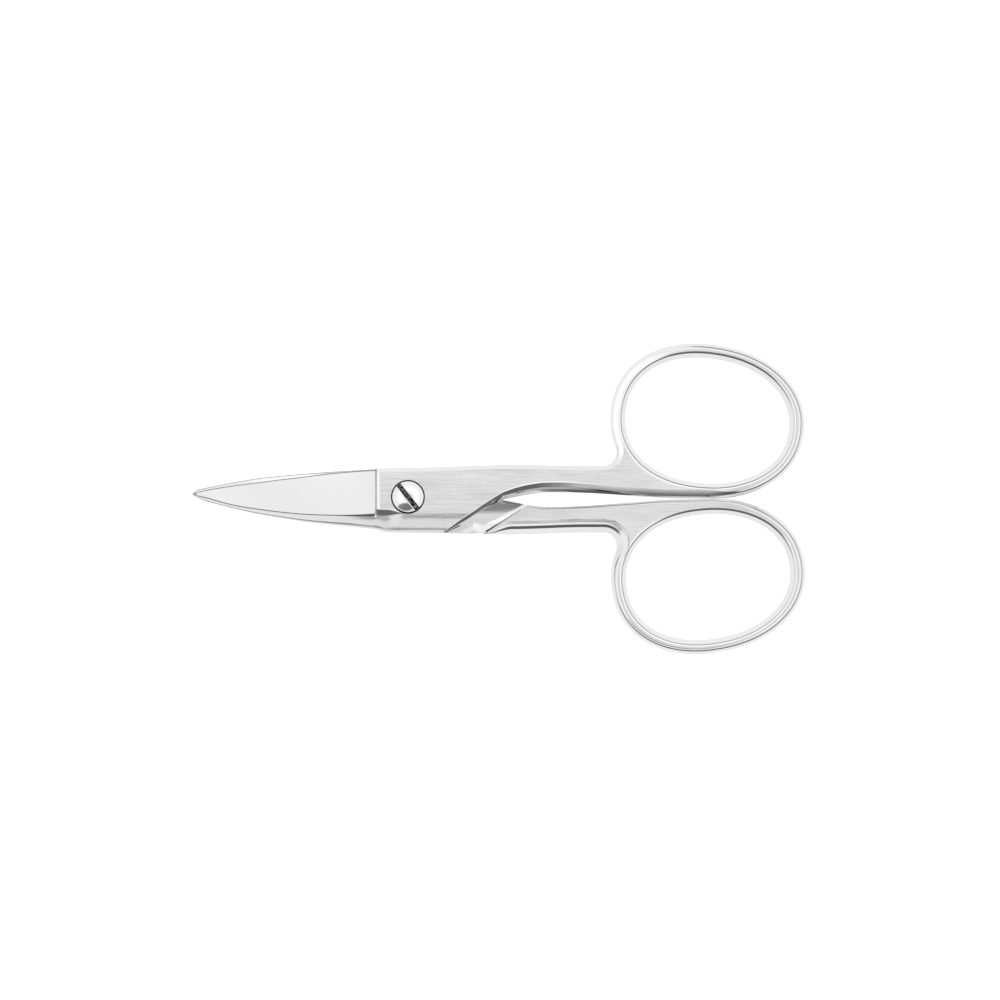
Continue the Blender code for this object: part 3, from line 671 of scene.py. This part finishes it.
def ring_grid(section_y):
    """The ring as a grid: once round its outline, and at each point once round the strand,
    up the outer flank, across the web, through the hole and back underneath. section_y is the
    shank's last section, whose rows the ring takes over where they meet. It gives the points,
    the quads and each quad's finish."""
    start = np.array((join_x, np.interp(join_x, *low_edge.T)))
    edge = inner_edge[inner_edge[:, 0] > join_x + SLACK]
    outline = np.vstack((start, edge[:-1], rim[:touch], fillet[1:]))
    length = np.concatenate(([0], np.cumsum(np.linalg.norm(np.diff(outline, axis=0), axis=1))))
    stations = np.linspace(0, length[-1], math.ceil(length[-1] / CONTOUR_STEP))
    contour = np.column_stack([np.interp(stations, length, column) for column in outline.T])
    tangent = np.gradient(contour, axis=0)
    inwards = np.column_stack((-tangent[:, 1], tangent[:, 0]))
    inwards /= np.linalg.norm(inwards, axis=1)[:, None]
    for _ in range(NORMAL_SMOOTHING):
        inwards[1:-1] = (inwards[:-2] + 2 * inwards[1:-1] + inwards[2:]) / 4
    to_end = length[-1] - stations
    first = stations < to_end
    turned_in = ramp(stations, *JOIN_TURN) * ramp(to_end, *END_TURN)
    inwards = inwards * turned_in[:, None]
    inwards[:, 1] += np.where(first, 1.0, -1.0) * (1 - turned_in)
    inwards /= np.linalg.norm(inwards, axis=1)[:, None]
    zero = np.zeros_like(stations)
    low_width, low_height, low_shape, _ = low_wall(np.maximum(contour[:, 0], join_x))
    round_above, round_under = ramp(stations, *RIM_ABOVE), ramp(stations, *RIM_UNDER)
    width = np.where(first, low_width + (RIM_WIDTH - low_width) * round_above,
                     stepped(to_end, OUTER_WIDTH))
    height = np.where(first, low_height + (RIM_HEIGHT - low_height) * ramp(stations, *RIM_RISE),
                      stepped(to_end, OUTER_HEIGHT))
    inner_shape = blend(low_shape, profile(RIM), round_above)
    broad_shape = blend(profile(BEVEL, 1), profile(BROAD_RIM, 1), ramp(to_end, *BEVEL_TO_RIM))
    outer_shape = blend(broad_shape, profile(RIM), ramp(to_end, *FAR_RIM))
    shape = np.where(first[:, None, None], inner_shape, outer_shape)
    under_width = np.where(first, UNDER_CHAMFER + (RIM_WIDTH - UNDER_CHAMFER) * round_under,
                           stepped(to_end, OUTER_UNDER_WIDTH))
    under_height = np.where(first, UNDER_CHAMFER_HEIGHT
                            + (RIM_HEIGHT - UNDER_CHAMFER_HEIGHT) * round_under,
                            stepped(to_end, OUTER_UNDER_HEIGHT))
    inner_shape = blend(profile(CHAMFER), profile(RIM), round_under)
    outer_shape = blend(profile(OUTER_WALL), profile(RIM), ramp(to_end, *LEAN_TO_RIM))
    under_shape = np.where(first[:, None, None], inner_shape, outer_shape)
    offset, drop = edge_rows(width, height, shape, zero, zero)
    under_offset, under_drop = edge_rows(under_width, under_height, under_shape, zero, zero)
    offsets = stack(under_offset[:, ::-1], np.zeros((len(contour), WALL_ROWS)), offset)
    wall = spread(under_height - BODY_THICKNESS, BODY_THICKNESS - height, WALL_ROWS + 2)[:, 1:-1]
    flank_z = stack(under_drop[:, ::-1] - BODY_THICKNESS, wall, BODY_THICKNESS - drop)
    flank = contour[:, None] + inwards[:, None] * offsets[:, :, None]
    cut_top = np.column_stack((np.full(FACE_ROWS, join_x), section_y[LOW_END:TOP_END][::-1]))
    cut_under = np.column_stack((np.full(FACE_ROWS, join_x), section_y[HIGH_END:]))
    outer_top = np.vstack((flank[:, -1], cut_top))
    outer_under = np.vstack((flank[:, 0], cut_under))
    hole_angles = np.linspace(-math.pi, math.pi, CIRCLE_STEPS + 1)
    hole = oval(hole_angles, HOLE_DRAFT)
    polar = np.unwrap(np.arctan2(hole[:, 1], hole[:, 0]))
    radial = np.unwrap(np.arctan2(*(contour - ring_centre).T[::-1]))
    first_radial = int(np.argmin(np.abs(stations - FIRST_RADIAL)))
    last_radial = int(np.argmin(np.abs(to_end - LAST_RADIAL)))
    first_angle = radial[first_radial] - FIRST_LEAD
    middle = range(first_radial, last_radial + 1)
    knots = ((0, first_angle), *zip(middle, radial[middle]),
             (len(contour) - 1, radial[0] + math.tau + LAST_LAG),
             (len(outer_top), first_angle + math.tau))
    wanted = np.interp(np.arange(len(outer_top)), *np.array(knots).T)
    angle = np.interp(wanted, polar, hole_angles, period=math.tau)
    hole_rows = []
    lower_half = tuple((-level, margin) for level, margin in HOLE_SHARES[-2::-1])
    for level, margin in HOLE_SHARES + lower_half:
        points = ring_centre + oval(angle, margin * HOLE_DRAFT)
        hole_rows.append(np.column_stack((points, np.full(len(points), level * BODY_THICKNESS))))
    t = (np.arange(1, WEB_ROWS) / WEB_ROWS)[:, None, None]
    top = np.column_stack((outer_top, np.full(len(outer_top), BODY_THICKNESS)))
    under = np.column_stack((outer_under, np.full(len(outer_under), -BODY_THICKNESS)))
    web_top = top + (hole_rows[0] - top) * t
    web_under = hole_rows[-1] + (under - hole_rows[-1]) * t
    inner = np.concatenate((web_top, np.array(hole_rows), web_under)).transpose(1, 0, 2)
    flank_all = np.zeros((len(outer_top), LOW_END, 3))
    flank_all[:len(contour)] = np.concatenate((flank, flank_z[:, :, None]), axis=2)
    flank_all[len(contour):, 0] = under[len(contour):]
    flank_all[len(contour):, -1] = top[len(contour):]
    points = np.concatenate((flank_all, inner), axis=1)
    rows, columns = points.shape[:2]
    quads = grid_faces(rows + 1, columns, True) % (rows * columns)
    around = np.arange(rows)[:, None]
    column = np.arange(columns)[None]
    on_cut = (around >= len(contour) - 1) & (column < LOW_END - 1)
    levels = points[:, :, 2]
    next_levels = np.roll(levels, -1, axis=1)
    flat = (np.abs(levels) == BODY_THICKNESS) & (levels == next_levels)
    in_web = (points[:, :, 0] < WEB_END) & (points[:, :, 1] < ring_centre[1])
    outer_wall = (around > len(contour) - FILLET_STATIONS) & (column < FACET_ROWS + 1)
    finish = np.where((flat & in_web) | outer_wall, BRUSHED, POLISHED)
    return points.reshape(-1, 3), quads[~on_cut], finish[~on_cut]


def under_finish(x, y):
    """The finish underneath: brushed before the scoop and past its end, polished on it."""
    rows = y[:, HIGH_END - 1:]
    past = scoop_line(x, SCOOP_END, SCOOP_END_ANGLE)[:, None] - LINE_SLACK <= rows
    before = scoop_line(x, SCOOP_DISTANCE, SCOOP_ANGLE)[:, None] + LINE_SLACK >= rows
    return np.where((past | before)[1:], BRUSHED, POLISHED)


def turned_by(points, angle):
    """The points turned about the pivot's axis by that angle."""
    turned = points.copy()
    turned[:, 0] = points[:, 0] * math.cos(angle) - points[:, 1] * math.sin(angle)
    turned[:, 1] = points[:, 0] * math.sin(angle) + points[:, 1] * math.cos(angle)
    return turned


def turned_surface(outline, segments):
    """A surface of revolution: each (radius, height) of the outline carried round the axis."""
    radius, height = np.array(outline, float).T
    turn = np.arange(segments) * math.tau / segments
    return np.stack((radius[:, None] * np.cos(turn), radius[:, None] * np.sin(turn),
                     height[:, None] + 0 * turn), axis=-1)


def closed_object(name, points, faces, finish, materials, polish=None):
    """A mesh object in metres from points in mm, with its doubles merged and its faces
    pointing out. polish, kept as an attribute, is how far a brushed surface is polished."""
    mesh = bpy.data.meshes.new(name)
    mesh.from_pydata((points * MM).tolist(), [], faces)
    mesh.polygons.foreach_set("material_index", np.array(finish, dtype=np.int32))
    if polish is not None:
        mesh.attributes.new("polish", "FLOAT", "POINT").data.foreach_set("value", polish)
    bm = bmesh.new()
    bm.from_mesh(mesh)
    bmesh.ops.remove_doubles(bm, verts=bm.verts, dist=WELD_DISTANCE * MM)
    loose = [vert for vert in bm.verts if not vert.link_faces]
    bmesh.ops.delete(bm, geom=loose, context="VERTS")
    bmesh.ops.recalc_face_normals(bm, faces=bm.faces)
    bm.to_mesh(mesh)
    bm.free()
    for material in materials:
        mesh.materials.append(material)
    obj = bpy.data.objects.new(name, mesh)
    bpy.context.scene.collection.objects.link(obj)
    return obj


def bored(obj, bore):
    """The object with a turned hole cut out of it, its walls painted dark as painted shade, and its
    edges sharp past EDGE_ANGLE.
    """
    points = turned_surface(bore, BORE_SEGMENTS)
    rows, columns = points.shape[:2]
    faces = grid_faces(rows, columns, True).reshape(-1, 4).tolist()
    # Its faces take the DARK finish, so the walls the hole leaves are painted shade.
    cutter = closed_object("bore", points.reshape(-1, 3), faces, np.full(len(faces), DARK),
                           obj.data.materials)
    cut = obj.modifiers.new("bore", "BOOLEAN")
    cut.operation = "DIFFERENCE"
    cut.solver = "EXACT"
    cut.object = cutter
    mesh = bpy.data.meshes.new_from_object(obj.evaluated_get(bpy.context.evaluated_depsgraph_get()))
    obj.modifiers.clear()
    obj.data = mesh
    bpy.data.objects.remove(cutter)
    mesh.shade_smooth()
    mesh.set_sharp_from_angle(angle=EDGE_ANGLE)
    return obj


def half_mesh(name, blade_rows, side, bore, materials):
    """The whole half as one closed surface in the pattern's frame, then bent, turned over
    for the rear half and set on the pivot. side is 1 for the front and -1 for the rear."""
    shoulder = -PIVOT_TO_SHOULDER
    blade_x = np.linspace(-PIVOT_TO_TIP, shoulder - SHOULDER_RUN, BLADE_STATIONS)
    body_x = np.linspace(shoulder, join_x, math.ceil((join_x - shoulder) / STATION_STEP))
    rounding = shoulder + np.append(np.linspace(0, SHOULDER_BREAK, 4)[:-1],
                                    np.linspace(SHOULDER_BREAK, SHOULDER_ROUND, 4))
    body_x = np.unique(np.concatenate((rounding, body_x[body_x > rounding[-1] + LEAST_STEP],
                                       np.arange(*FINE_STATIONS, FINE_STEP),
                                       [PIVOT_TO_HEEL, PIVOT_TO_HEEL + SLACK])))
    blade_y, blade_z = blade_sections(blade_x, blade_rows)
    body_y, body_z = handle_sections(body_x, side)
    x = np.concatenate((blade_x, body_x))
    y, z = np.vstack((blade_y, body_y)), np.vstack((blade_z, body_z))
    rows, columns = y.shape
    handle = np.stack((x[:, None] * np.ones(columns), y, z), axis=-1).reshape(-1, 3)
    ring, ring_quads, ring_finish = ring_grid(body_y[-1])
    points = thin_handle(np.vstack((handle, ring)))
    blade_part = points[:, 0] < shoulder - SLACK
    reach = np.hypot(points[:, 0], points[:, 1] - PIVOT_OFF_CENTRE * side)
    points[:, 2] += side * blade_part * np.maximum(0, reach - BEND_START) ** 2 / (2 * BEND_RADIUS)
    if side < 0:
        points[:, 1:] *= -1
    points[:, 1] -= PIVOT_OFF_CENTRE
    points[:, 2] += BODY_THICKNESS
    tube = grid_faces(rows, columns, True)
    finish = np.full(tube.shape[:2], POLISHED)
    body = finish[len(blade_x):]
    finish[:len(blade_x), :LOW_END - 2] = BRUSHED
    body[:, LOW_END - 1:TOP_END] = BRUSHED
    body[body_x[1:] < PIVOT_TO_HEEL, :LOW_END] = BRUSHED
    body[:, HIGH_END - FACET_ROWS - 2:HIGH_END - 1] = BRUSHED
    body[:, HIGH_END - 1:] = under_finish(body_x, body_y)
    body[body_x[1:] < shoulder + SHOULDER_ROUND + SLACK, LOW_END - 1:TOP_END] = POLISHED
    faces = np.vstack((tube.reshape(-1, 4), ring_quads + len(handle)))
    finish = np.concatenate((finish.ravel(), ring_finish, [POLISHED]))
    polish = ramp(points[:, 0], *WEB_FADE)
    handle_x, handle_y = points[:len(handle), :2].T
    on_flank = np.tile(np.arange(columns) < LOW_END - 1, rows)
    polish[:len(handle)] = on_flank * (1 - ramp(handle_x, *FLANK_FADE))
    on_patch = np.tile(np.arange(columns) > HIGH_END, rows)
    on_patch &= handle_y < scoop_line(handle_x, SCOOP_DISTANCE, SCOOP_ANGLE) + LINE_SLACK
    polish[:len(handle)][on_patch] = PATCH_POLISH
    half = closed_object(name, turned_by(points, HANDLE_LEAN),
                         faces.tolist() + [list(range(columns))], finish, materials, polish)
    return bored(half, bore)


def stretched_noise(tree, scale, detail):
    """Noise in object coordinates, with its own scale along each axis, in cells a metre."""
    place = node(tree, "ShaderNodeMapping")
    place.inputs["Scale"].default_value = scale
    tree.links.new(node(tree, "ShaderNodeTexCoord").outputs["Object"], place.inputs["Vector"])
    noise = node(tree, "ShaderNodeTexNoise")
    noise.inputs["Scale"].default_value = 1.0
    noise.inputs["Detail"].default_value = detail
    tree.links.new(place.outputs[0], noise.inputs["Vector"])
    return noise.outputs["Fac"]


def between(tree, value, low, high):
    """value, which runs about from 0.25 to 0.75, spread from low to high."""
    new = node(tree, "ShaderNodeMapRange")
    tree.links.new(value, new.inputs["Value"])
    for name, number in (("From Min", 0.25), ("From Max", 0.75), ("To Min", low), ("To Max", high)):
        new.inputs[name].default_value = number
    return new.outputs["Result"]


def steel(name):
    """A metal material of that name: its node tree and its shader."""
    material = bpy.data.materials.new(name)
    material.use_nodes = True
    tree = material.node_tree
    shader = tree.nodes["Principled BSDF"]
    shader.inputs["Metallic"].default_value = 1.0
    return material, tree, shader


def grey(tree, shader, tone):
    """Gives the shader a grey colour whose level is the output tone."""
    colour = node(tree, "ShaderNodeCombineColor")
    for socket in colour.inputs:
        tree.links.new(tone, socket)
    tree.links.new(colour.outputs[0], shader.inputs["Base Color"])


def bumpy(tree, shader, height, strength, depth):
    """Gives the shader a bump from the output height, depth mm deep at full strength."""
    bump = node(tree, "ShaderNodeBump")
    feed(tree, strength, bump.inputs["Strength"])
    bump.inputs["Distance"].default_value = depth * MM
    tree.links.new(height, bump.inputs["Height"])
    tree.links.new(bump.outputs[0], shader.inputs["Normal"])


def brushed_steel(name, level, roughness):
    """Steel brushed along its length: fine stretched noise sets the grain in the colour, the
    roughness and a very shallow bump, and coarser noise clouds it. The polish attribute
    fades all of it out towards a polished surface."""
    material, tree, shader = steel(name)
    grain = stretched_noise(tree, scale=(220, 5200, 5200), detail=4.0)
    cloud = stretched_noise(tree, scale=(90, 420, 420), detail=2.0)
    polish = node(tree, "ShaderNodeAttribute", attribute_name="polish").outputs["Fac"]
    brushed = arithmetic(tree, "SUBTRACT", 1.0, polish)
    tone = arithmetic(tree, "ADD", between(tree, grain, -GRAIN_TONE, GRAIN_TONE),
                      between(tree, cloud, -CLOUD, CLOUD))
    grey(tree, shader, arithmetic(tree, "ADD", arithmetic(tree, "MULTIPLY", tone, brushed), level))
    rough = arithmetic(tree, "ADD", between(tree, grain, roughness - GRAIN_ROUGHNESS,
                                            roughness + GRAIN_ROUGHNESS),
                       between(tree, cloud, -CLOUD, CLOUD))
    fine = arithmetic(tree, "MULTIPLY", polish, POLISHED_ROUGHNESS)
    tree.links.new(arithmetic(tree, "ADD", arithmetic(tree, "MULTIPLY", rough, brushed), fine),
                   shader.inputs["Roughness"])
    bumpy(tree, shader, grain, arithmetic(tree, "MULTIPLY", brushed, GRAIN_BUMP), depth=0.02)
    return material


def polished_steel(name, level):
    """Mirror-polished steel: faint hairlines and smears vary its roughness and its colour."""
    material, tree, shader = steel(name)
    hairline = stretched_noise(tree, scale=(350, 7000, 7000), detail=3.0)
    smear = stretched_noise(tree, scale=(160, 260, 260), detail=2.0)
    rough = arithmetic(tree, "ADD", between(tree, hairline, -HAIRLINE, HAIRLINE),
                       between(tree, smear, POLISHED_ROUGHNESS - HAIRLINE,
                               POLISHED_ROUGHNESS + HAIRLINE))
    tree.links.new(rough, shader.inputs["Roughness"])
    spread_tone = between(tree, hairline, -HAIRLINE_TONE, HAIRLINE_TONE)
    grey(tree, shader, arithmetic(tree, "ADD", spread_tone, level))
    bumpy(tree, shader, hairline, strength=0.05, depth=0.01)
    return material


def painted_shade_steel(name, level):
    """Steel painted dark as painted shade, for the shade in the bores round the screw and in the
    screw's slot: rough, and granular in colour and bump.
    """
    material, tree, shader = steel(name)
    speck = stretched_noise(tree, scale=(5000, 5000, 5000), detail=4.0)
    tone = between(tree, speck, -2 * level, 3 * level)
    grey(tree, shader, arithmetic(tree, "MAXIMUM", tone, DARKEST))
    shader.inputs["Roughness"].default_value = DARK_ROUGHNESS
    bumpy(tree, shader, speck, strength=0.5, depth=0.03)
    return material


# How far the grain, its clouds and the hairlines change a steel's colour and its roughness
GRAIN_TONE = 0.045
GRAIN_ROUGHNESS = 0.08
GRAIN_BUMP = 0.3
CLOUD = 0.03
HAIRLINE = 0.015
HAIRLINE_TONE = 0.012
POLISHED_ROUGHNESS = 0.07
DARK_ROUGHNESS = 0.55
DARKEST = 0.01
satin = brushed_steel("satin", level=0.74, roughness=0.25)
mirror = polished_steel("mirror", level=0.79)
# dark and the slot's steel are painted shade: dark steel where shade falls, in the bores round the
# screw and in its slot.
dark = painted_shade_steel("dark", level=0.07)
slot_painted_shade = painted_shade_steel("slot", level=0.2)

# The bores for the screw, as (radius, height) in the half's own frame, from the top down
full = 2 * BODY_THICKNESS
SHANK_BORE = 1.45
HEAD_BORE = 2.45
HEAD_SEAT = 2.9
OVERRUN = 1.0
BORE_BEVEL = 0.04
STEPPED_BORE = ((0, full + OVERRUN), (HEAD_BORE + OVERRUN, full + OVERRUN - BORE_BEVEL),
                (HEAD_BORE, full - BORE_BEVEL), (HEAD_BORE, HEAD_SEAT), (SHANK_BORE, HEAD_SEAT),
                (SHANK_BORE, BODY_THICKNESS - OVERRUN), (0, BODY_THICKNESS - OVERRUN))
PLAIN_BORE = ((0, BODY_THICKNESS + OVERRUN), (SHANK_BORE, BODY_THICKNESS + OVERRUN),
              (SHANK_BORE, -OVERRUN), (0, -OVERRUN))
for name, blade_rows, side, body, bore in (
        ("front_half", FRONT_BLADE_SHARES, 1, "front", STEPPED_BORE),
        ("rear_half", REAR_BLADE_SHARES, -1, "rear", PLAIN_BORE)):
    half = half_mesh(name + "_steel", blade_rows, side, bore, (satin, mirror, dark))
    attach(half, body)
    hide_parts(name)


# Pivot screw: turned steel with a polished, slightly domed head that lies in the front
# half's counterbore. Its end is screwed into the rear half and ground flush with it.
HEAD_RADIUS = 2.35
SHANK_RADIUS = 1.4
HEAD_THICKNESS = 0.9
DOME = 0.3
HEAD_RIM = 0.22
HEAD_RIM_DROP = 0.14
RIM_ROUNDNESS = 0.98
SLOT_WIDTH = 0.68
SLOT_DEPTH = 0.6
SLOT_EDGE = 0.09
SLOT_ANGLE = math.radians(-52)
SLOT_WALL = 0.004
END_CHAMFER = 0.12
EDGE_LINES = 7
FACE_LINES = 34
SLOT_LINES = 8
LENGTH_LINES = 81


def head_height(u, v):
    """The head's top, u along the slot and v across it: a sphere's cap, rounded down at the
    rim, with a flat-bottomed slot whose edges are rounded."""
    radius = np.hypot(u, v)
    sphere = (HEAD_RADIUS ** 2 + DOME ** 2) / (2 * DOME)
    cap = full + np.sqrt(sphere ** 2 - radius ** 2) - sphere + DOME
    rim = np.clip((radius - HEAD_RADIUS + HEAD_RIM) / HEAD_RIM, 0, 1)
    cap = cap - HEAD_RIM_DROP * (1 - np.sqrt(1 - RIM_ROUNDNESS * rim ** 2))
    beside = np.clip((np.abs(v) - SLOT_WIDTH / 2) / SLOT_EDGE, 0, 1)
    rounded = cap - SLOT_EDGE * (1 - np.sqrt(1 - (1 - beside) ** 2))
    return np.where(np.abs(v) < SLOT_WIDTH / 2, full + DOME - SLOT_DEPTH, rounded)


half_slot = SLOT_WIDTH / 2
edge = half_slot + SLOT_EDGE * (1 - np.cos(np.linspace(0, math.pi / 2, EDGE_LINES)))
edge_end = math.asin(edge[-1] / HEAD_RADIUS)
beyond = HEAD_RADIUS * np.sin(np.linspace(edge_end, math.pi / 2, FACE_LINES))
positive = np.concatenate((np.linspace(0, half_slot - SLOT_WALL, SLOT_LINES), edge, beyond[1:]))
across = np.concatenate((-positive[:0:-1], positive))
along = np.sin(np.linspace(-math.pi / 2, math.pi / 2, LENGTH_LINES))
v = across[:, None] + 0 * along
u = np.sqrt(np.maximum(HEAD_RADIUS ** 2 - v ** 2, 0)) * along
head = np.stack((u, v, head_height(u, v)), axis=-1)
rows, columns = head.shape[:2]
head_faces = grid_faces(rows, columns, False)
in_slot = np.abs((across[1:] + across[:-1]) / 2) < half_slot
# The slot's faces take the second material, dark steel as painted shade in the slot.
head_finish = np.where(in_slot[:, None], 1, 0) + 0 * head_faces[:, :, 0]
number = np.arange(rows * columns).reshape(rows, columns)
border = np.concatenate((number[:, -1], number[::-1, 0]))
rim_points = head.reshape(-1, 3)[border]
bearing = np.arctan2(rim_points[:, 1], rim_points[:, 0])
seat = full - HEAD_THICKNESS + FACE_GAP
lower = ((HEAD_RADIUS, seat), (SHANK_RADIUS, seat), (SHANK_RADIUS, END_CHAMFER),
         (SHANK_RADIUS - END_CHAMFER, 0), (0, 0))
skirts = [np.column_stack((radius * np.cos(bearing), radius * np.sin(bearing),
                           np.full(len(bearing), float(height)))) for radius, height in lower]
points = np.vstack((head.reshape(-1, 3), *skirts))
skirt_numbers = np.arange(len(skirts) * len(border)).reshape(len(skirts), -1)
loops = np.vstack((border, rows * columns + skirt_numbers))
after = np.roll(loops, -1, axis=1)
skirt_faces = np.stack((loops[:-1], loops[1:], after[1:], after[:-1]), axis=-1).reshape(-1, 4)
faces = head_faces.reshape(-1, 4).tolist() + skirt_faces.tolist()
finish = np.concatenate((head_finish.ravel(), np.zeros(len(skirt_faces))))
screw = closed_object("pivot_screw_steel", turned_by(points, SLOT_ANGLE), faces, finish,
                      (mirror, slot_painted_shade))
screw.data.shade_smooth()
screw.data.set_sharp_from_angle(angle=EDGE_ANGLE)
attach(screw, "rear")
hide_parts("pivot_screw")
